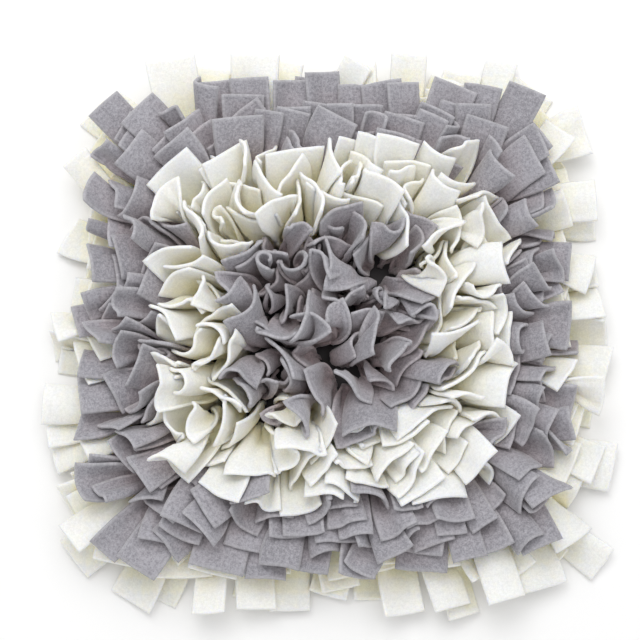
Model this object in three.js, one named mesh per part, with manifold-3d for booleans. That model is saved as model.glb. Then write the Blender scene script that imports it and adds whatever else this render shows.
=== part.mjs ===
// A square snuffle mat, in millimetres: fleece strips knotted hole by hole into a flat base mat.
// The knots lie in square rings round the middle. The strips' tails stand up in the middle of the
// mat and lean further out ring by ring, until those of the outermost ring droop past its edge.
// Each side of each ring is one comb: a low row of knots with a fleece tail rising from each knot.

import * as THREE from "three";
import { mergeVertices } from "three/addons/utils/BufferGeometryUtils.js";
import Module from "manifold-3d";

const wasm = await Module();
wasm.setup();

// Driving dimensions
const knotPitch = 21; // between neighbouring knots, and between neighbouring rings
const baseThickness = 4;
const baseMargin = 11; // from the outermost knots to the base's edge
const baseCornerRadius = 14;
const clearance = 0.3; // between pieces that rest on each other
const knotWidth = 8;
const knotHeight = 5;
const fleeceThickness = 2;
const tailLength = 78; // from the knot to the cut end
const tailWidth = 21;
const gatheredWidth = 12; // of a tail where it leaves its knot
const gatheredShare = 0.4; // of the tail's length, over which it opens to its full width
const tailSegments = 2;
const cornerFan = 3; // power of the field that turns tails from square-on to diagonal at a corner

const fleece = (colour) => new THREE.MeshStandardMaterial({ color: colour, roughness: 0.95, metalness: 0 });
const grey = fleece(0xa39fa3);
const ivory = fleece(0xece9dc);
const rubber = new THREE.MeshStandardMaterial({ color: 0x3b3a3c, roughness: 0.8, metalness: 0 });

// One row for each ring from the middle out: its tails' leans from upright in degrees, at the knot
// and at the cut end, and how much more and less neighbouring tails lean.
const rings = [
  { name: "heart_inner", cloth: grey, knotLean: 1, endLean: 9, pairLean: 2 },
  { name: "heart_middle", cloth: grey, knotLean: 1, endLean: 13, pairLean: 2 },
  { name: "heart_outer", cloth: grey, knotLean: 8, endLean: 44, pairLean: 4 },
  { name: "ivory_inner", cloth: ivory, knotLean: 12, endLean: 54, pairLean: 5 },
  { name: "ivory_outer", cloth: ivory, knotLean: 17, endLean: 62, pairLean: 5 },
  { name: "grey_inner", cloth: grey, knotLean: 24, endLean: 70, pairLean: 5 },
  { name: "grey_outer", cloth: grey, knotLean: 32, endLean: 80, pairLean: 5 },
  { name: "ivory_fringe", cloth: ivory, knotLean: 46, endLean: 98, pairLean: 5 },
];
const sides = ["back", "right", "front", "left"];

// How unevenly the tails lie, repeated along each row: turns about their knots and extra leans.
const unevenness = [
  { turn: 0, lean: 0 },
  { turn: 3, lean: 2 },
  { turn: -3, lean: -2 },
  { turn: 4, lean: 1 },
  { turn: -4, lean: -1 },
];

const radians = THREE.MathUtils.degToRad;

// A closed three.js geometry as a manifold-3d solid.
function solidOf(geometry) {
  const bare = geometry.clone();
  bare.deleteAttribute("normal");
  bare.deleteAttribute("uv");
  const merged = mergeVertices(bare, 1e-4);
  const vertProperties = merged.attributes.position.array;
  const triVerts = new Uint32Array(merged.index.array);
  return new wasm.Manifold(new wasm.Mesh({ numProp: 3, vertProperties, triVerts }));
}

// A manifold-3d solid as a three.js geometry.
function geometryOf(solid) {
  const { vertProperties, triVerts } = solid.getMesh();
  const geometry = new THREE.BufferGeometry();
  geometry.setAttribute("position", new THREE.BufferAttribute(vertProperties, 3));
  geometry.setIndex(new THREE.BufferAttribute(triVerts, 1));
  geometry.computeVertexNormals();
  return geometry;
}

// One fleece tail rising from the origin and bending out along +Y: a thin box whose centreline turns
// evenly from its lean at the knot to its lean at the cut end, gathered to a narrow foot.
function fleeceTail(knotLean, endLean) {
  const tail = new THREE.BoxGeometry(tailWidth, fleeceThickness, tailLength, 1, 1, tailSegments);
  tail.translate(0, 0, tailLength / 2);
  const startLean = radians(knotLean);
  const turnPerLength = radians(endLean - knotLean) / tailLength;
  const point = new THREE.Vector3();
  const places = tail.attributes.position;
  for (let i = 0; i < places.count; i++) {
    point.fromBufferAttribute(places, i);
    const along = point.z;
    const lean = startLean + turnPerLength * along;
    const out = (Math.cos(startLean) - Math.cos(lean)) / turnPerLength;
    const up = (Math.sin(lean) - Math.sin(startLean)) / turnPerLength;
    const opened = Math.min(1, along / (gatheredShare * tailLength));
    const share = THREE.MathUtils.lerp(gatheredWidth / tailWidth, 1, opened);
    places.setXYZ(i, point.x * share, out + point.y * Math.cos(lean), up - point.y * Math.sin(lean));
  }
  return tail;
}

// One side of one ring: its row of knots, each with its tail. It is shaped on the mat's +Y side,
// from the corner at -X, and turned about the middle to its own side.
function ringComb(ring, ringNumber, sideNumber) {
  const distance = (ringNumber + 0.5) * knotPitch;
  const knotCount = 2 * ringNumber + 1;
  const rowStart = -distance - knotWidth / 2;
  const rowEnd = distance - knotPitch / 2;
  const floor = baseThickness + clearance;
  const row = new THREE.BoxGeometry(rowEnd - rowStart, knotWidth, knotHeight);
  row.translate((rowStart + rowEnd) / 2, distance, floor + knotHeight / 2);
  let comb = solidOf(row);
  for (let knot = 0; knot < knotCount; knot++) {
    const x = -distance + knot * knotPitch;
    const placeInRing = sideNumber * knotCount + knot;
    const pair = placeInRing % 2 ? -ring.pairLean : ring.pairLean;
    const uneven = unevenness[(placeInRing + 2 * ringNumber) % unevenness.length];
    const tail = fleeceTail(ring.knotLean + pair / 2, ring.endLean + pair + uneven.lean);
    const sideways = Math.sign(x) * Math.abs(x / distance) ** cornerFan;
    tail.rotateZ(Math.atan2(-sideways, 1) + radians(uneven.turn));
    tail.translate(x, distance, floor + knotHeight / 2);
    comb = comb.add(solidOf(tail));
  }
  const mesh = new THREE.Mesh(geometryOf(comb), ring.cloth);
  mesh.name = `${ring.name}_${sides[sideNumber]}`;
  mesh.rotation.z = (-sideNumber * Math.PI) / 2;
  return mesh;
}

// The base mat: a flat square with round corners, its underside at height 0.
function baseMat() {
  const half = (rings.length - 0.5) * knotPitch + baseMargin;
  const middle = half - baseCornerRadius;
  const outline = new THREE.Shape();
  outline.absarc(middle, middle, baseCornerRadius, 0, Math.PI / 2);
  outline.absarc(-middle, middle, baseCornerRadius, Math.PI / 2, Math.PI);
  outline.absarc(-middle, -middle, baseCornerRadius, Math.PI, 1.5 * Math.PI);
  outline.absarc(middle, -middle, baseCornerRadius, 1.5 * Math.PI, 2 * Math.PI);
  const slab = new THREE.ExtrudeGeometry(outline, { depth: baseThickness, bevelEnabled: false, curveSegments: 6 });
  const mesh = new THREE.Mesh(slab, rubber);
  mesh.name = "base_mat";
  return mesh;
}

const mat = new THREE.Group();
mat.name = "snuffle_mat";
mat.add(baseMat());
rings.forEach((ring, ringNumber) => {
  sides.forEach((side, sideNumber) => mat.add(ringComb(ring, ringNumber, sideNumber)));
});

export default mat;
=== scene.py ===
"""A square snuffle mat of grey and ivory fleece strips, knotted in square rings into a flat base mat.

Every knot has two fleece tails. All the tails are settled together as one pile: each is a grid of
points held at the size its strip was cut to, pleated where it leaves its knot, pulled towards the
way its ring leans, and kept a layer of fleece apart from every other tail. The settled grids then
become thick, soft-edged sheets, one piece for each side of each ring.
"""

import math

import bpy
import numpy as np
from bpy.props import FloatProperty, FloatVectorProperty, IntProperty, PointerProperty
from bpy.types import Operator, Panel, PropertyGroup
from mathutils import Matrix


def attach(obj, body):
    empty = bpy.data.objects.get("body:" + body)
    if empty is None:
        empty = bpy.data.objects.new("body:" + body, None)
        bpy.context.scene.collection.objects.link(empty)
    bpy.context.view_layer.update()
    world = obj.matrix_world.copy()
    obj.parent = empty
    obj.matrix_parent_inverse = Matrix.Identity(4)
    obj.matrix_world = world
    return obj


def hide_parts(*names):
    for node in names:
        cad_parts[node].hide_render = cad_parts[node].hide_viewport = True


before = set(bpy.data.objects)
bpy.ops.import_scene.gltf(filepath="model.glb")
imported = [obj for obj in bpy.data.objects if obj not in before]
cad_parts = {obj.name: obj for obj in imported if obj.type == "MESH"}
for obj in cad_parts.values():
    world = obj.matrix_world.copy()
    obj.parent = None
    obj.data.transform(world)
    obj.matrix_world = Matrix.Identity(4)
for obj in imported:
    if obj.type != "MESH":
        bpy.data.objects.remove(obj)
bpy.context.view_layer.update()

bl_info = {
    "name": "Snuffle Mat",
    "version": (1, 0, 0),
    "blender": (4, 5, 0),
    "location": "View3D > Sidebar > Snuffle Mat",
    "description": "Builds a fleece snuffle mat round its fixed frame",
    "category": "Add Mesh",
}

MM = 0.001

# One row for each ring of knots from the middle out: the cloth, the tails' lean from upright at the
# knot and at the cut end and how much it wanders, how much their headings and their faces turn away
# from their row, all in degrees, the cut width and length in metres, how unevenly the length is cut
# and by what share the steeper tail of a knot is shorter, how far, in radians, the cloth's section
# still turns at the cut end, the ring's share of the sway of the whole heap, and how firmly its tails
# keep their faces up.
RINGS = (
    {"name": "heart_inner", "cloth": "grey", "foot": 0, "tip": 28, "wander": 16, "veer": 60,
     "turn": 40, "width": 0.046, "length": 0.074, "uneven": 0.06, "short": 0.30, "curl": 0.68,
     "sway": -0.4, "flat": 0.0},
    {"name": "heart_middle", "cloth": "grey", "foot": 5, "tip": 40, "wander": 14, "veer": 42,
     "turn": 36, "width": 0.046, "length": 0.074, "uneven": 0.06, "short": 0.28, "curl": 0.7,
     "sway": 0.1, "flat": 0.0},
    {"name": "heart_outer", "cloth": "grey", "foot": 12, "tip": 52, "wander": 12, "veer": 28,
     "turn": 30, "width": 0.045, "length": 0.074, "uneven": 0.06, "short": 0.24, "curl": 0.62,
     "sway": 0.65, "flat": 0.0},
    {"name": "ivory_inner", "cloth": "ivory", "foot": 15, "tip": 58, "wander": 9, "veer": 22,
     "turn": 20, "width": 0.044, "length": 0.076, "uneven": 0.05, "short": 0.14, "curl": 0.55,
     "sway": 0.6, "flat": 0.1},
    {"name": "ivory_outer", "cloth": "ivory", "foot": 22, "tip": 64, "wander": 9, "veer": 18,
     "turn": 16, "width": 0.043, "length": 0.077, "uneven": 0.05, "short": 0.12, "curl": 0.5,
     "sway": 0.4, "flat": 0.2},
    {"name": "grey_inner", "cloth": "grey", "foot": 26, "tip": 66, "wander": 8, "veer": 18,
     "turn": 18, "width": 0.036, "length": 0.075, "uneven": 0.05, "short": 0.14, "curl": 0.45,
     "sway": 0.2, "flat": 0.4},
    {"name": "grey_outer", "cloth": "grey", "foot": 37, "tip": 76, "wander": 8, "veer": 16,
     "turn": 16, "width": 0.036, "length": 0.078, "uneven": 0.05, "short": 0.16, "curl": 0.4,
     "sway": 0.0, "flat": 0.5},
    {"name": "ivory_fringe", "cloth": "ivory", "foot": 64, "tip": 88, "wander": 6, "veer": 14,
     "turn": 10, "width": 0.039, "length": 0.079, "uneven": 0.10, "short": 0.28, "curl": 0.25,
     "sway": 0.0, "flat": 0.6},
)
# How far the outermost ring reaches round the mat: a knot's place round the middle in degrees,
# from the right hand side anticlockwise as seen from above, and the share of the cut length.
REACH = ((0, 1.0), (25, 1.0), (45, 0.93), (90, 0.90), (118, 0.92), (128, 0.78), (142, 0.78),
         (152, 0.98), (200, 1.0), (215, 1.01), (232, 1.01), (250, 0.98), (300, 1.0), (312, 1.01),
         (325, 1.01), (340, 1.0), (360, 1.0))
# Single tails that stray from their ring: the ring, the knot's place in metres, the heading in
# degrees anticlockwise from the right, the lean from upright at the knot and at the cut end, and
# the share of the cut length.
STRAYS = (
    ("ivory_inner", -0.073, -0.052, 105, 4, 84, 1.0),
    ("ivory_inner", 0.073, -0.031, 60, 4, 70, 1.0),
    ("ivory_outer", -0.094, 0.094, 140, 16, 82, 1.05),
    ("ivory_outer", -0.094, 0.031, 150, 10, 76, 1.05),
    ("grey_outer", -0.136, 0.136, 135, 36, 84, 1.15),
    ("ivory_fringe", -0.157, 0.094, 125, 50, 86, 1.12),
    ("ivory_fringe", -0.115, 0.157, 100, 50, 86, 1.12),
    ("ivory_fringe", -0.052, 0.157, 92, 50, 86, 1.10),
    ("ivory_fringe", 0.073, 0.157, 86, 50, 86, 1.10),
    ("ivory_fringe", 0.157, 0.010, 8, 50, 86, 1.05),
)

SIDES = ("back", "right", "front", "left")


# ---------------------------------------------------------------- sizes and colours a user changes

class SnuffleMatSizes(PropertyGroup):
    knot_pitch: FloatProperty(
        name="Knot pitch", description="Distance between neighbouring knots", default=0.021,
        min=0.015, max=0.04, unit="LENGTH")
    knot_height: FloatProperty(
        name="Knot height", description="Height of a knot's middle above the surface",
        default=0.0068, min=0.004, max=0.02, unit="LENGTH")
    fleece_thickness: FloatProperty(
        name="Fleece thickness", description="Thickness of the fleece", default=0.0029,
        min=0.001, max=0.004, unit="LENGTH")
    layer_gap: FloatProperty(
        name="Layer gap", description="Least distance between the points of two layers",
        default=0.0047, min=0.002, max=0.008, unit="LENGTH")
    settling_steps: IntProperty(
        name="Settling steps", description="Steps in which the pile settles", default=320,
        min=20, max=600)
    seed: IntProperty(
        name="Seed", description="Which of many like piles is made", default=7, min=0)


class SnuffleMatColours(PropertyGroup):
    grey: FloatVectorProperty(
        name="Grey fleece", description="Colour of the grey strips", subtype="COLOR", size=3,
        min=0, max=1, default=(0.340, 0.332, 0.362))
    ivory: FloatVectorProperty(
        name="Ivory fleece", description="Colour of the ivory strips", subtype="COLOR", size=3,
        min=0, max=1, default=(0.855, 0.855, 0.832))
    base: FloatVectorProperty(
        name="Base mat", description="Colour of the base mat", subtype="COLOR", size=3,
        min=0, max=1, default=(0.055, 0.05, 0.052))


class SnuffleMatStage(PropertyGroup):
    camera_distance: FloatProperty(
        name="Camera distance", description="From the camera to the mat's middle", default=1.15,
        min=0.3, max=5, unit="LENGTH")
    camera_elevation: FloatProperty(
        name="Camera elevation", description="Angle of the view above the floor",
        default=math.radians(80), min=0.1, max=1.57, subtype="ANGLE")
    focal_length: FloatProperty(
        name="Focal length", description="The camera's focal length in millimetres", default=75,
        min=20, max=200)


# ------------------------------------------------------------------------------- shader expressions

class Signal:
    """A shader socket in an expression: each operator adds the Math node that works it out."""

    def __init__(self, shader, socket):
        self.shader = shader
        self.socket = socket

    def math(self, operation, first, second):
        return self.shader.node("ShaderNodeMath", {"operation": operation}, {0: first, 1: second})

    def __add__(self, other):
        return self.math("ADD", self, other)

    def __sub__(self, other):
        return self.math("SUBTRACT", self, other)

    def __rsub__(self, other):
        return self.math("SUBTRACT", other, self)

    def __mul__(self, other):
        return self.math("MULTIPLY", self, other)

    __radd__ = __add__
    __rmul__ = __mul__


class Shader:
    """One material's node tree, with one method that adds any node to it."""

    def __init__(self, name):
        self.material = bpy.data.materials.new(name)
        self.material.use_nodes = True
        self.tree = self.material.node_tree
        self.tree.nodes.clear()

    def node(self, kind, settings=None, inputs=None, output=0):
        """Adds a node, makes its settings, then sets or links its sockets; returns one output."""
        node = self.tree.nodes.new(kind)
        for name, value in (settings or {}).items():
            setattr(node, name, value)
        for name, value in (inputs or {}).items():
            if isinstance(value, Signal):
                self.tree.links.new(value.socket, node.inputs[name])
            else:
                node.inputs[name].default_value = value
        return Signal(self, node.outputs[output]) if node.outputs else None

    def mix(self, factor, first, second, blend="MIX"):
        """One colour turned into another by a factor from 0 to 1."""
        return self.node(
            "ShaderNodeMix", {"data_type": "RGBA", "blend_type": blend},
            {0: factor, 6: first, 7: second}, output=2)

    def noise(self, coordinate, scale, detail=2.0, roughness=0.5):
        """Soft cloudy noise, with its spots about 1 / scale metres across."""
        return self.node(
            "ShaderNodeTexNoise", None,
            {"Vector": coordinate, "Scale": scale, "Detail": detail, "Roughness": roughness})

    def surface(self, **inputs):
        """The Principled shader that closes the material; its names use _ for a space."""
        plain = {name.replace("_", " "): value for name, value in inputs.items()}
        shader = self.node("ShaderNodeBsdfPrincipled", None, plain)
        self.node("ShaderNodeOutputMaterial", None, {"Surface": shader})
        return self.material


def opaque(colour):
    return (*colour, 1.0)


# Each cloth's finish and painted light: what its colour is multiplied by deep in the pile, a warm
# tint that paints light bounced between the layers, the share of that which grows evenly with the
# depth rather than with its square, how much lighter and darker its spots are, the sheen of its nap
# and how much light passes through it.
FINISHES_WITH_PAINTED_LIGHT = {
    "grey": {"painted_bounce_tint": (1.24, 1.03, 0.97), "onset": 0.5, "mottling": 0.26, "sheen": 0.45,
             "glow": 0.0},
    "ivory": {"painted_bounce_tint": (1.15, 1.06, 0.79), "onset": 0.8, "mottling": 0.06, "sheen": 0.2,
              "glow": 0.8},
}


def fleece_material(name, colour, painted_bounce_tint, onset, mottling, sheen, glow):
    """Short-napped fleece, speckled in fine spots and soft clumps, with a painted highlight along its
    cut edges and a painted warm tint of bounced light where it lies deep in the pile."""
    shader = Shader(name)
    cloth = shader.node("ShaderNodeUVMap", {"uv_map": "cloth"})
    edge = shader.node("ShaderNodeAttribute", {"attribute_name": "edge"}, output=2)
    tone = shader.node("ShaderNodeAttribute", {"attribute_name": "tone"}, output=2)
    depth = shader.node("ShaderNodeAttribute", {"attribute_name": "depth"}, output=2)
    fine = shader.noise(cloth, 800.0, 3.0, 0.7)
    clumps = shader.noise(cloth, 360.0, 2.0, 0.6)
    patches = shader.noise(cloth, 60.0, 2.0, 0.5)
    speckle = (fine - 0.5) * 2.6 + (clumps - 0.5) * 2.2 + (patches - 0.5) * 0.8
    light = tuple(min(1.0, part * (1 + mottling)) for part in colour)
    dark = tuple(part * (1 - mottling) for part in colour)
    body = shader.mix(speckle + (tone - 0.5) * 0.3 + 0.5, opaque(dark), opaque(light))
    # Painted highlight: along the cut edges the colour is mixed towards a paler one, as where fibres
    # catch the light.
    pale = tuple(part + (1 - part) * 0.35 for part in colour)
    with_painted_edge_highlight = shader.mix(edge * 0.42, body, opaque(pale))
    # Painted light: deep in the pile the colour is multiplied by a warm tint that paints light bounced
    # between and through the layers.
    painted_bounce_share = depth * (depth * (1 - onset) + onset)
    coloured = shader.mix(painted_bounce_share, with_painted_edge_highlight, opaque(painted_bounce_tint), "MULTIPLY")
    bump = shader.node(
        "ShaderNodeBump", None,
        {"Strength": 0.8, "Distance": 0.0010, "Height": fine * 0.4 + clumps * 0.6})
    return shader.surface(
        Base_Color=coloured, Roughness=0.95, Normal=bump, Specular_IOR_Level=0.1,
        Sheen_Weight=sheen, Sheen_Roughness=0.4, Subsurface_Weight=glow,
        Subsurface_Radius=(1.0, 0.88, 0.64), Subsurface_Scale=0.006)


def rubber_material(name, colour):
    """Dull moulded rubber with a fine grain."""
    shader = Shader(name)
    place = shader.node("ShaderNodeTexCoord", output=3)
    grain = shader.noise(place, 1400.0, 2.0, 0.5)
    smears = shader.noise(place, 30.0, 3.0, 0.5)
    pale = tuple(part * 1.7 for part in colour)
    coloured = shader.mix(grain * 0.5 + smears * 0.5, opaque(colour), opaque(pale))
    bump = shader.node(
        "ShaderNodeBump", None, {"Strength": 0.4, "Distance": 0.0003, "Height": grain})
    return shader.surface(
        Base_Color=coloured, Roughness=smears * 0.2 + 0.62, Normal=bump)


# --------------------------------------------------------------------------------- meshes in numpy

def mesh_piece(name, points, quads, material, uv=None, **attributes):
    """A new object from arrays of points, four-cornered faces, cloth coordinates and attributes."""
    mesh = bpy.data.meshes.new(name)
    mesh.vertices.add(len(points))
    mesh.vertices.foreach_set("co", np.ascontiguousarray(points, np.float32).ravel())
    mesh.loops.add(quads.size)
    mesh.loops.foreach_set("vertex_index", quads.astype(np.int32).ravel())
    mesh.polygons.add(len(quads))
    mesh.polygons.foreach_set("loop_start", np.arange(0, quads.size, 4, dtype=np.int32))
    if uv is not None:
        layer = mesh.uv_layers.new(name="cloth")
        layer.data.foreach_set("uv", uv[quads.ravel()].astype(np.float32).ravel())
    for label, values in attributes.items():
        attribute = mesh.attributes.new(label, "FLOAT", "POINT")
        attribute.data.foreach_set("value", np.ascontiguousarray(values, np.float32))
    mesh.update(calc_edges=True)
    mesh.validate()
    mesh.shade_smooth()
    mesh.materials.append(material)
    piece = bpy.data.objects.new(name, mesh)
    bpy.context.scene.collection.objects.link(piece)
    return piece


def grid_quads(rows, columns, closed=False):
    """The faces between neighbouring points of a grid; closed joins its last column to its first."""
    index = np.arange(rows * columns).reshape(rows, columns)
    if closed:
        index = np.concatenate([index, index[:, :1]], 1)
    corners = index[:-1, :-1], index[:-1, 1:], index[1:, 1:], index[1:, :-1]
    return np.stack(corners, -1).reshape(-1, 4)


def unit(vectors):
    """Each vector divided by its own length."""
    return vectors / (np.linalg.norm(vectors, axis=-1, keepdims=True) + 1e-12)


def spline_weights(count, samples):
    """A matrix that turns count control points into samples points of their uniform cubic B-spline.

    Each sample is the usual four-point blend, and a ghost point past each end, twice the end point
    less its neighbour, makes the curve reach both ends.
    """
    place = np.linspace(0, count - 1, samples)
    first = np.minimum(place.astype(int), count - 2)
    t = place - first
    blend = np.stack([
        (1 - t) ** 3,
        3 * t ** 3 - 6 * t ** 2 + 4,
        -3 * t ** 3 + 3 * t ** 2 + 3 * t + 1,
        t ** 3,
    ], 1) / 6
    ghosts = np.zeros((count + 2, count))
    ghosts[1:-1] = np.eye(count)
    ghosts[0, :2] = 2, -1
    ghosts[-1, -2:] = -1, 2
    weights = np.zeros((samples, count + 2))
    weights[np.arange(samples)[:, None], first[:, None] + np.arange(4)] = blend
    return weights @ ghosts


# ------------------------------------------------------------------------------- settling the pile

POINTS_ACROSS = 9
POINTS_ALONG = 16
# The pile's middle: how many rings it has, its least distance between layers as a share of the
# rest's, where the headings part, in metres, and the sway of the heap, in radians right and back.
HEART_RINGS = 3
HEART_ROOM = 0.88
PARTING = (0.022, -0.018)
SWAY = (0.58, -0.36)
# A knot's two tails: from the knot's middle to each in metres, and what each leans more or less than
# their ring in degrees. A tail that curls more leans less, by up to the last number in degrees.
HALF_KNOT = 6 * MM
KNOT_SPREAD = 9
CURLED_UPRIGHT = 8
# How far the cloth's section turns, in radians: pleated at the start, and knotted at the foot.
PLEATED_TURN = 2.4
KNOTTED_TURN = 2.0
# The settling: the share of a move that carries on into the next step, the shares of all the steps
# in which the tails lean over and in which they start to open and open, and the longest move, in
# metres, that a section makes at once. The lowest places of the cloth's middle are in metres too.
CARRIED_ON = 0.8
LEANING_TIME = 0.5
OPENING_START = 0.05
OPENING_TIME = 0.5
LONGEST_MOVE = 0.22 * MM
BASE_HALF_SIDE = 0.1695
LOWEST_ON_BASE = 6.0 * MM
LOWEST_ON_FLOOR = 2.2 * MM


def knot_table(pitch):
    """Every knot as x, y, ring, side: rows of 2 r + 1 knots on each side of ring r, each row starting
    at one corner of the ring and turned about the middle to its side."""
    rows = []
    for ring in range(len(RINGS)):
        count = 2 * ring + 1
        distance = (ring + 0.5) * pitch
        x = -distance + pitch * np.arange(count)
        y = np.full(count, distance)
        for side in range(len(SIDES)):
            turned = ((x, y), (y, -x), (-x, -y), (-y, x))[side]
            rows.append(np.stack([*turned, np.full(count, ring), np.full(count, side)], 1))
    return np.concatenate(rows)


def section(turning, waves, phase, skew, step):
    """Cross-sections of pleated cloth: curves whose heading is turning * sin(2 pi waves s + phase),
    with s = u ** skew - 1/2 and u the share of the width from one edge, walked in equal steps and
    centred. A skew off 1 leaves one edge nearly flat and curls the other."""
    across = (np.arange(POINTS_ACROSS - 1) + 0.5) / (POINTS_ACROSS - 1)
    share = across ** skew[:, None, None] - 0.5
    angle = turning[..., None] * np.sin(
        2 * np.pi * waves[:, None, None] * share + phase[:, None, None])
    walk = np.stack([np.cos(angle), np.sin(angle)], -1) * step[:, None, None, None]
    start = np.zeros(walk.shape[:2] + (1, 2))
    curve = np.concatenate([start, np.cumsum(walk, 2)], 2)
    return curve - curve.mean(2, keepdims=True)


class Pile:
    """The tails' points, an array of tail, row along, point across and xyz, and what shapes them."""

    def __init__(self, sizes):
        self.sizes = sizes
        draw = np.random.default_rng(sizes.seed)
        knots = np.repeat(knot_table(sizes.knot_pitch), 2, axis=0)
        self.count = len(knots)
        self.knot_xy = knots[:, :2]
        self.ring = knots[:, 2].astype(int)
        self.side = knots[:, 3].astype(int)
        self.second = np.tile([0, 1], self.count // 2)
        self.along = np.linspace(0, 1, POINTS_ALONG)
        self.cut_tails(draw)
        self.aim_tails(draw)
        self.set_strays()
        self.pleat_tails(draw)
        room = np.where(self.ring < HEART_RINGS, HEART_ROOM, 1.0) * sizes.layer_gap
        self.room = np.repeat(room, POINTS_ALONG * POINTS_ACROSS)

    def of_ring(self, key):
        """Each tail's value of one column of RINGS."""
        return np.array([row[key] for row in RINGS], float)[self.ring]

    def cut_tails(self, draw):
        """Each tail's width, length and tone of its fleece, a little off what its ring is cut to."""
        self.width = self.of_ring("width") * (
            1 + 0.15 * draw.standard_normal(self.count)).clip(0.7, 1.3)
        uneven = self.of_ring("uneven") * draw.standard_normal(self.count)
        self.length = self.of_ring("length") * (1 + uneven).clip(0.75, 1.1)
        self.length *= np.where(self.second, 1, 1 - self.of_ring("short"))
        self.tone = draw.uniform(0, 1, self.count)
        around = np.degrees(np.arctan2(self.knot_xy[:, 1], self.knot_xy[:, 0])) % 360
        reach = np.interp(around, *np.array(REACH).T)
        self.length *= np.where(self.ring == len(RINGS) - 1, reach, 1)

    def aim_tails(self, draw):
        """How much each tail curls and turns, how far it leans and where it heads: its lean at the
        cut end, as an arrow along its heading on the ground, plus its ring's share of the sway."""
        count = self.count
        self.curl = self.of_ring("curl") * np.exp(0.55 * draw.standard_normal(count))
        wander = self.of_ring("wander") * draw.standard_normal(count)
        wander += np.where(self.second, KNOT_SPREAD, -KNOT_SPREAD)
        self.plain_heading = self.headings(self.knot_xy)
        heading = self.plain_heading + np.radians(
            self.of_ring("veer") * draw.standard_normal(count))
        self.spin = np.radians(self.of_ring("turn") * draw.standard_normal(count))
        self.twist = np.radians(self.of_ring("turn") * draw.standard_normal(count))
        self.foot_lean = np.radians(self.of_ring("foot") + wander * 0.5)
        curled = (self.curl - self.of_ring("curl")).clip(-1, 1)
        tip_lean = np.radians(self.of_ring("tip") + wander - CURLED_UPRIGHT * curled)
        sway = np.array(SWAY) * self.of_ring("sway")[:, None]
        bow = tip_lean[:, None] * np.stack([np.cos(heading), np.sin(heading)], 1) + sway
        self.heading = np.arctan2(bow[:, 1], bow[:, 0])
        self.tip_lean = np.hypot(bow[:, 0], bow[:, 1])
        self.length *= 1 + 0.08 * np.abs(np.sin(self.heading))

    def set_strays(self):
        """Gives the tails named in STRAYS their own heading, leans and length, nearly flat."""
        names = [row["name"] for row in RINGS]
        for name, x, y, way, foot, tip, share in STRAYS:
            ring = names.index(name)
            away = np.hypot(self.knot_xy[:, 0] - x, self.knot_xy[:, 1] - y)
            chosen = np.argmin(away + (self.ring != ring) + (1 - self.second))
            self.heading[chosen] = np.radians(way)
            self.foot_lean[chosen], self.tip_lean[chosen] = np.radians([foot, tip])
            self.length[chosen] = RINGS[ring]["length"] * share
            self.curl[chosen], self.spin[chosen], self.twist[chosen] = 0.3, 0, 0

    def pleat_tails(self, draw):
        """The tails' first points, tightly pleated and upright over their knots, and the sections
        that their rows start from and settle to."""
        count, along, plain = self.count, self.along, self.plain_heading
        zero = np.zeros(count)
        self.out = np.stack([np.cos(self.heading), np.sin(self.heading), zero], 1)
        self.sideways = np.stack([-np.sin(self.heading), np.cos(self.heading), zero], 1)
        self.flat = self.of_ring("flat") * np.where(self.side % 2, 0.4, 1.0)
        self.step_across = self.width / (POINTS_ACROSS - 1)
        self.step_along = self.length / (POINTS_ALONG - 1)
        apart = np.stack([0.35 * np.cos(plain) - 0.9 * np.sin(plain),
                          0.35 * np.sin(plain) + 0.9 * np.cos(plain), zero], 1)
        apart *= np.where(self.second, 1, -1)[:, None] * HALF_KNOT
        knot = np.concatenate([self.knot_xy, np.full((count, 1), self.sizes.knot_height)], 1)
        foot = knot + apart
        turned = (self.spin[:, None] + self.twist[:, None] * along)[..., None]
        cosine, sine = np.cos(turned), np.sin(turned)
        wide = self.sideways[:, None] * cosine + self.out[:, None] * sine
        normal = self.out[:, None] * cosine - self.sideways[:, None] * sine

        waves = draw.choice([0.5, 0.75, 1.0], count, p=[0.62, 0.24, 0.14])
        single = waves == 0.5
        phase = np.where(single, 0, draw.uniform(0, 2 * np.pi, count))
        hand = draw.choice([-1.0, 1.0], count)[:, None]
        skew = draw.choice([0.7, 1.0, 1.45], count, p=[0.35, 0.3, 0.35])
        settled = KNOTTED_TURN * (1 - along) ** 2.4 + self.curl[:, None] * (0.25 + 0.75 * along)
        settled = np.minimum(settled, np.where(single, 2.45, 1.9)[:, None])
        even = np.ones(count)
        tight = np.full_like(settled, PLEATED_TURN)
        self.section_first = section(hand * tight, 1.5 * even, phase, even, self.step_across)
        self.section_last = section(hand * settled, waves, phase, skew, self.step_across)
        start = self.step_along[:, None] * np.arange(POINTS_ALONG)
        centre = foot[:, None] + start[..., None] * np.array([0, 0, 1.0])
        self.points = (centre[:, :, None] + wide[:, :, None] * self.section_first[..., :1]
                       + normal[:, :, None] * self.section_first[..., 1:])
        self.tip_curl = 0.10 * draw.standard_normal(count) + 0.02
        self.slant = 0.06 * draw.standard_normal(count)

    def directions(self, share):
        """The way each row of each tail is pulled: its lean goes from upright to its own lean, which
        grows evenly from the foot to the tip."""
        lean = self.foot_lean[:, None] + (self.tip_lean - self.foot_lean)[:, None] * self.along
        lean = lean * share
        up = np.array([0.0, 0.0, 1.0])
        return self.out[:, None] * np.sin(lean)[..., None] + up * np.cos(lean)[..., None]

    def headings(self, knot_xy):
        """Away from the parting of the pile, square-on along the sides and diagonal at the corners:
        the heading of (x, y), each divided by the larger and raised to a power."""
        rim = np.abs(knot_xy).max()
        share = np.abs(knot_xy).max(1, keepdims=True) / rim
        away = knot_xy - np.array(PARTING) * (1 - share)
        ratio = away / (np.abs(away).max(1, keepdims=True) + 1e-9)
        field = np.sign(ratio) * np.abs(ratio) ** 2.2
        return np.arctan2(field[:, 1], field[:, 0])

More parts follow.
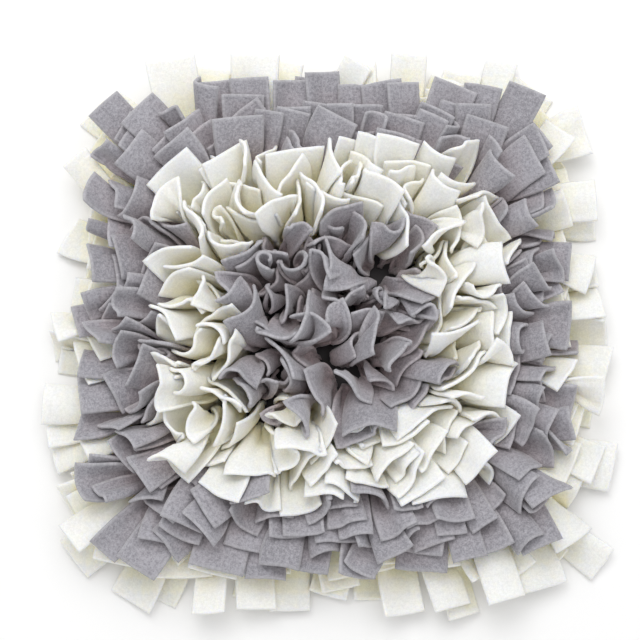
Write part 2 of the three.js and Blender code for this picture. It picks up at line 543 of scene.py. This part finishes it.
    def near_pairs(self, reach):
        """Pairs of points closer than reach, found in a grid of cubes that wide, less close kin."""
        flat = self.points.reshape(-1, 3)
        cell = np.floor((flat - flat.min(0)) / reach).astype(np.int64) + 1
        size = cell.max(0) + 2
        key = (cell[:, 0] * size[1] + cell[:, 1]) * size[2] + cell[:, 2]
        order = np.argsort(key, kind="stable")
        ordered = key[order]
        first = np.searchsorted(ordered, np.arange(size.prod() + 1))
        held = np.diff(first)
        per_tail = POINTS_ALONG * POINTS_ACROSS
        tail, within = np.divmod(np.arange(len(flat)), per_tail)
        row, place = np.divmod(within, POINTS_ACROSS)
        found = []
        offsets = [(x, y, z) for x in (0, 1) for y in (-1, 0, 1) for z in (-1, 0, 1)]
        for x, y, z in offsets:
            offset = (x * size[1] + y) * size[2] + z
            if offset < 0:
                continue
            neighbour = np.clip(ordered + offset, 0, size.prod() - 1)
            start, amount = first[neighbour], held[neighbour]
            for turn in range(amount.max()):
                some = turn < amount
                one, other = order[some], order[start[some] + turn]
                if offset == 0:
                    once = one < other
                    one, other = one[once], other[once]
                apart = flat[one] - flat[other]
                close = np.einsum("ij,ij->i", apart, apart) < reach * reach
                one, other = one[close], other[close]
                rows_apart = np.abs(row[one] - row[other])
                places_apart = np.abs(place[one] - place[other])
                kin = (tail[one] == tail[other]) & (
                    (rows_apart + places_apart <= 2)
                    | (np.minimum(row[one], row[other]) < 3))
                found.append(np.stack([one[~kin], other[~kin]]))
        return np.concatenate(found, 1)

    def settle(self):
        """Moves all the points step by step: momentum and the pull of each tail's own direction,
        then bends, cut sizes, layers and the floor put right again."""
        points = self.points
        steps = self.sizes.settling_steps
        gap = self.sizes.layer_gap
        pinned = points[:, :2].copy()
        before = points.copy()
        slanted = 1 + self.slant[:, None] * np.linspace(-1, 1, POINTS_ACROSS)
        rest_across = self.step_across[:, None, None]
        rest_along = self.step_along[:, None, None] * slanted[:, None]
        rest_slope = np.hypot(rest_across, rest_along[:, :, 1:])
        strength = (0.06 + 0.10 * self.along[:, None]) * MM
        tip_bend = (self.tip_curl[:, None] * self.along[1:-1] * self.step_along[:, None] * 0.5)
        free = np.ones(points.shape[:3])
        free[:, :2] = 0
        free = free.ravel()
        for step in range(steps):
            momentum = (points - before) * CARRIED_ON
            np.clip(momentum, -MM, MM, out=momentum)
            before[:] = points
            leaning = min(1.0, step / (LEANING_TIME * steps))
            opening = min(1.0, max(0.0, step / steps - OPENING_START) / OPENING_TIME)
            firmness = np.interp(step / steps, (0.74, 0.76, 0.90, 0.92), (0.10, 0.07, 0.06, 0.02))
            pull = self.directions(leaning) * strength
            points += momentum + pull[:, :, None] * (1 - 0.5 * opening)
            points[..., 2] -= 0.03 * MM
            sections = self.section_first + (self.section_last - self.section_first) * opening
            if step % 3 == 0:
                pairs = self.near_pairs(gap + 2.0 * MM)
            for _ in range(2):
                self.hold_sections(sections, firmness)
                self.bend_along(tip_bend)
                self.hold_sizes(rest_across, rest_along, rest_slope)
                self.part_layers(pairs, free)
                points[:, :2] = pinned
            on_base = np.abs(points[..., :2]).max(-1) < BASE_HALF_SIDE
            lowest = np.where(on_base, LOWEST_ON_BASE, LOWEST_ON_FLOOR)
            np.maximum(points[..., 2], lowest, out=points[..., 2])

    def hold_sections(self, sections, firmness):
        """Moves each row towards its section: the section's plane is spanned by the row's own
        width, the sum of its points weighted by their place across and turned a little towards level,
        and a normal to it and to the tail. No move is so long that it could outdo the layers' push."""
        points = self.points
        centre = points.mean(2, keepdims=True)
        wide = unit(np.einsum("ntk,ntkc->ntc", sections[..., 0], points - centre))
        wide = unit(wide + self.flat[:, None, None] * self.sideways[:, None])
        normal = unit(np.cross(wide, np.gradient(centre[:, :, 0], axis=1)))
        goal = (centre + wide[:, :, None] * sections[..., :1]
                + normal[:, :, None] * sections[..., 1:])
        move = firmness * (goal - points)
        size = np.sqrt(np.einsum("ntpc,ntpc->ntp", move, move))[..., None]
        points += move * np.minimum(1, LONGEST_MOVE / (size + 1e-12))

    def bend_along(self, bend):
        """Moves each point and its two neighbours along the tail so that its bend nears the slight
        curl it rests at."""
        points = self.points
        across = np.gradient(points, axis=2)[:, 1:-1]
        normal = unit(np.cross(across, points[:, 2:] - points[:, :-2]))
        middle = points[:, 1:-1]
        excess = points[:, :-2] + points[:, 2:] - 2 * middle - normal * bend[:, :, None, None]
        move = 0.12 * excess
        points[:, 1:-1] += move
        points[:, :-2] -= move / 2
        points[:, 2:] -= move / 2

    def hold_sizes(self, rest_across, rest_along, rest_slope):
        """Brings neighbouring points back to the distances they were cut to."""
        points = self.points
        for first in (0, 1):
            draw_together(points[:, :, first:-1:2], points[:, :, first + 1::2], rest_across, 0.5)
            draw_together(points[:, first:-1:2], points[:, first + 1::2], rest_along, 0.5)
            here, there = points[:, first:-1:2], points[:, first + 1::2]
            draw_together(here[:, :, :-1], there[:, :, 1:], rest_slope, 0.25)
            draw_together(here[:, :, 1:], there[:, :, :-1], rest_slope, 0.25)

    def part_layers(self, pairs, free):
        """Pushes apart the points of different layers that are closer than their room, as much along
        the line between them as along the cloth's own normal, so that layers slide over each
        other."""
        flat = self.points.reshape(-1, 3)
        one, other = pairs
        apart = flat[one] - flat[other]
        distance = np.sqrt(np.einsum("ij,ij->i", apart, apart)) + 1e-9
        share = free[one] + free[other]
        gap = (self.room[one] + self.room[other]) / 2
        touching = (distance < gap) & (share > 0)
        one, other, apart = one[touching], other[touching], apart[touching]
        distance, share, gap = distance[touching], share[touching], gap[touching]
        facing = self.normals().reshape(-1, 3)[other]
        facing *= np.sign(np.einsum("ij,ij->i", facing, apart))[:, None]
        way = apart / distance[:, None] + facing
        push = way * ((gap - distance) / share * 0.9)[:, None]
        for axis in range(3):
            flat[:, axis] += np.bincount(one, push[:, axis] * free[one], len(flat))
            flat[:, axis] -= np.bincount(other, push[:, axis] * free[other], len(flat))

    # The depth is the mask of the painted bounce light in the fleece materials.
    def depth_of(self, places):
        """How deep in the pile places lie, from 0 at its top to 1: their distance below the highest
        cloth round them, smoothed over a grid of squares, as a share of the deepest that counts."""
        square = 12 * MM
        span = 44
        deepest = 35 * MM
        flat = self.points.reshape(-1, 3)
        top = np.zeros((span, span))
        column = ((flat[:, :2] / square) + span / 2).astype(int).clip(0, span - 1)
        np.maximum.at(top, (column[:, 0], column[:, 1]), flat[:, 2])
        around = [np.roll(top, (x, y), (0, 1)) for x in (-1, 0, 1) for y in (-1, 0, 1)]
        smooth = np.mean(around, 0)
        cell = ((places[:, :2] / square) + span / 2).astype(int).clip(0, span - 1)
        return ((smooth[cell[:, 0], cell[:, 1]] - places[:, 2]) / deepest).clip(0, 1)

    def normals(self):
        """The cloth's normal at every point, from the differences to its neighbours."""
        return unit(np.cross(np.gradient(self.points, axis=2), np.gradient(self.points, axis=1)))


def draw_together(here, there, rest, share):
    """Moves two arrays of points along the lines between them until they are rest apart."""
    between = there - here
    distance = np.sqrt(np.einsum("...i,...i", between, between)) + 1e-9
    move = between * ((distance - rest) / distance * share)[..., None]
    here += move
    there -= move


# -------------------------------------------------------------------------------------- the fleece

ROWS_ALONG = 29
ROWS_ACROSS = 13


def fleece_sheets(pile, chosen, thickness):
    """Thick sheets from settled grids: points, faces, cloth coordinates, edge and tone.

    The grid's B-spline surface is moved half the thickness along its normal each way, and a ring
    of points round the rim, a little further out than both, rounds the cut edge.
    """
    along = spline_weights(POINTS_ALONG, ROWS_ALONG)
    across = spline_weights(POINTS_ACROSS, ROWS_ACROSS)
    middle = np.einsum("at,ntuk,bu->nabk", along, pile.points[chosen], across)
    normal = unit(np.cross(np.gradient(middle, axis=2), np.gradient(middle, axis=1)))
    half = thickness / 2
    count, rows, columns = middle.shape[:3]
    index = np.arange(rows * columns).reshape(rows, columns)
    rim = np.concatenate([index[0, :-1], index[:-1, -1], index[-1, :0:-1], index[:0:-1, 0]])
    flat_middle = middle.reshape(count, -1, 3)
    flat_normal = normal.reshape(count, -1, 3)
    inward_row = np.clip(np.arange(rows), 1, rows - 2)
    inward_column = np.clip(np.arange(columns), 1, columns - 2)
    inner = index[inward_row][:, inward_column].ravel()
    outward = unit(flat_middle[:, rim] - flat_middle[:, inner[rim]])
    upper = flat_middle + flat_normal * half
    lower = flat_middle - flat_normal * half
    upper[:, rim] -= outward * half * 0.7
    lower[:, rim] -= outward * half * 0.7
    ring = flat_middle[:, rim] + outward * half * 0.2
    points = np.concatenate([upper, lower, ring], 1)

    faces = grid_quads(rows, columns)
    size = rows * columns
    circle = np.arange(len(rim))
    after = np.roll(circle, -1)
    band_top = np.stack([rim, rim[after], 2 * size + after, 2 * size + circle], 1)
    band_low = np.stack([2 * size + circle, 2 * size + after, size + rim[after], size + rim], 1)
    quads = np.concatenate([faces[:, ::-1], faces + size, band_top, band_low])
    total = 2 * size + len(rim)
    quads = (quads[None] + total * np.arange(count)[:, None, None]).reshape(-1, 4)

    v, u = np.meshgrid(np.linspace(0, 1, rows), np.linspace(-0.5, 0.5, columns), indexing="ij")
    u, v = u.ravel(), v.ravel()
    order = np.concatenate([np.arange(size), np.arange(size), rim])
    width, length = pile.width[chosen][:, None], pile.length[chosen][:, None]
    shift = np.arange(pile.count)[chosen][:, None] * np.array([0.137, 0.291])
    uv = np.stack([u[order] * width, v[order] * length], -1) + shift[:, None]
    # The edge share is the mask of the painted highlight on the cut edges: 1 on the rounded rim, 0.6
    # at the rim of each face.
    edge = np.zeros(total)
    edge[2 * size:] = 1
    edge[rim] = edge[rim + size] = 0.6
    edge[order[:2 * size]] = edge[:2 * size]
    points = points.reshape(-1, 3)
    return {
        "points": points, "quads": quads, "uv": uv.reshape(-1, 2), "edge": np.tile(edge, count),
        "tone": np.repeat(pile.tone[chosen], total), "depth": pile.depth_of(points)}


settled_piles = {}


def settled_pile(sizes):
    """The pile, settled once and then shared by the operators that make its pieces."""
    if "pile" not in settled_piles:
        pile = Pile(sizes)
        pile.settle()
        settled_piles["pile"] = pile
    return settled_piles["pile"]


finished_cloths = {}


def finished_cloth(context, cloth):
    """The grey or the ivory fleece's material, made once and then shared by its bands."""
    if cloth not in finished_cloths:
        colour = getattr(context.scene.snuffle_colours, cloth)
        finished_cloths[cloth] = fleece_material(f"{cloth}_fleece", colour, **FINISHES_WITH_PAINTED_LIGHT[cloth])
    return finished_cloths[cloth]


def make_combs(context, *names):
    """The four combs of tails of each named ring, one for each side, in place of their plain ones."""
    sizes = context.scene.snuffle_sizes
    pile = settled_pile(sizes)
    for number, ring in enumerate(RINGS):
        if ring["name"] not in names:
            continue
        for side_number, side in enumerate(SIDES):
            chosen = (pile.ring == number) & (pile.side == side_number)
            sheets = fleece_sheets(pile, chosen, sizes.fleece_thickness)
            node = f"{ring['name']}_{side}"
            piece = mesh_piece(
                f"{node}_fleece", sheets["points"], sheets["quads"],
                finished_cloth(context, ring["cloth"]), sheets["uv"],
                edge=sheets["edge"], tone=sheets["tone"], depth=sheets["depth"])
            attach(piece, "root")
            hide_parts(node)
            width, length = pile.width[chosen], pile.length[chosen]
            float((width * length).sum())
    return {"FINISHED"}


class SNUFFLE_OT_heart(Operator):
    """Make the curled grey tails in the middle of the mat"""

    bl_idname = "snuffle.heart"
    bl_label = "Grey Heart"

    def execute(self, context):
        return make_combs(context, "heart_inner", "heart_middle", "heart_outer")


class SNUFFLE_OT_ivory_band(Operator):
    """Make the ivory tails round the heart"""

    bl_idname = "snuffle.ivory_band"
    bl_label = "Ivory Band"

    def execute(self, context):
        return make_combs(context, "ivory_inner", "ivory_outer")


class SNUFFLE_OT_grey_band(Operator):
    """Make the grey tails round the ivory band"""

    bl_idname = "snuffle.grey_band"
    bl_label = "Grey Band"

    def execute(self, context):
        return make_combs(context, "grey_inner", "grey_outer")


class SNUFFLE_OT_fringe(Operator):
    """Make the ivory fringe that lies on the floor round the mat"""

    bl_idname = "snuffle.fringe"
    bl_label = "Ivory Fringe"

    def execute(self, context):
        return make_combs(context, "ivory_fringe")


class SNUFFLE_OT_base(Operator):
    """Give the base mat its rubber finish"""

    bl_idname = "snuffle.base"
    bl_label = "Base Mat"

    def execute(self, context):
        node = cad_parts["base_mat"]
        node.data.materials.clear()
        node.data.materials.append(rubber_material("base_rubber", context.scene.snuffle_colours.base))
        return {"FINISHED"}


class SNUFFLE_OT_stage(Operator):
    """Set the floor, the soft studio light and the camera"""

    bl_idname = "snuffle.stage"
    bl_label = "Studio Stage"

    def execute(self, context):
        scene = context.scene
        stage = scene.snuffle_stage
        floor_shader = Shader("pale_floor")
        floor_material = floor_shader.surface(Base_Color=(0.93, 0.93, 0.93, 1.0), Roughness=0.8)
        corners = np.array([(-3, -3, 0), (3, -3, 0), (3, 3, 0), (-3, 3, 0)], float)
        floor = mesh_piece("floor", corners, np.array([[0, 1, 2, 3]]), floor_material)

        world = bpy.data.worlds.new("studio")
        world.use_nodes = True
        world.node_tree.nodes["Background"].inputs["Color"].default_value = (1.0, 1.0, 1.0, 1.0)
        world.node_tree.nodes["Background"].inputs["Strength"].default_value = 0.74
        scene.world = world
        scene.view_settings.view_transform = "Standard"

        lamps = (
            ("softbox", (0.2, 0.9, 2.1), 2.5, 18.0),
            ("key_light", (-0.4, 0.9, 1.7), 1.2, 8.0),
        )
        for name, place, size, power in lamps:
            light = bpy.data.lights.new(name, "AREA")
            light.shape = "DISK"
            light.size = size
            light.energy = power
            lamp = bpy.data.objects.new(name, light)
            scene.collection.objects.link(lamp)
            lamp.location = place
            lamp.rotation_euler = look_from(place, (0, 0, 0.03))

        target = np.array([-0.006, 0.003, 0.02])
        angle = stage.camera_elevation
        away = np.array([0.0, -math.cos(angle), math.sin(angle)]) * stage.camera_distance
        camera = bpy.data.objects.new("camera", bpy.data.cameras.new("camera"))
        camera.data.lens = stage.focal_length
        camera.data.sensor_width = 36
        scene.collection.objects.link(camera)
        camera.location = target + away
        camera.rotation_euler = look_from(target + away, target)
        scene.camera = camera
        return {"FINISHED"}


def look_from(place, target):
    """The rotation of a lamp or camera at one place that faces another."""
    x, y, z = np.subtract(target, place)
    return (math.atan2(math.hypot(x, y), -z), 0.0, math.atan2(-x, y))


class SNUFFLE_PT_panel(Panel):
    """The steps that build the mat, in order"""

    bl_idname = "SNUFFLE_PT_panel"
    bl_label = "Snuffle Mat"
    bl_space_type = "VIEW_3D"
    bl_region_type = "UI"
    bl_category = "Snuffle Mat"

    def draw(self, context):
        for operator in OPERATORS:
            self.layout.operator(operator.bl_idname)


OPERATORS = (
    SNUFFLE_OT_base,
    SNUFFLE_OT_heart,
    SNUFFLE_OT_ivory_band,
    SNUFFLE_OT_grey_band,
    SNUFFLE_OT_fringe,
    SNUFFLE_OT_stage,
)
SETTINGS = {
    "snuffle_sizes": SnuffleMatSizes,
    "snuffle_colours": SnuffleMatColours,
    "snuffle_stage": SnuffleMatStage,
}


def register():
    for group in SETTINGS.values():
        bpy.utils.register_class(group)
    for operator in OPERATORS:
        bpy.utils.register_class(operator)
    bpy.utils.register_class(SNUFFLE_PT_panel)
    for name, group in SETTINGS.items():
        setattr(bpy.types.Scene, name, PointerProperty(type=group))


def unregister():
    for name in SETTINGS:
        delattr(bpy.types.Scene, name)
    bpy.utils.unregister_class(SNUFFLE_PT_panel)
    for operator in reversed(OPERATORS):
        bpy.utils.unregister_class(operator)
    for group in reversed(SETTINGS.values()):
        bpy.utils.unregister_class(group)


def main():
    register()
    bpy.ops.snuffle.base()
    bpy.ops.snuffle.heart()
    bpy.ops.snuffle.ivory_band()
    bpy.ops.snuffle.grey_band()
    bpy.ops.snuffle.fringe()
    bpy.ops.snuffle.stage()


if __name__ == "__main__":
    main()
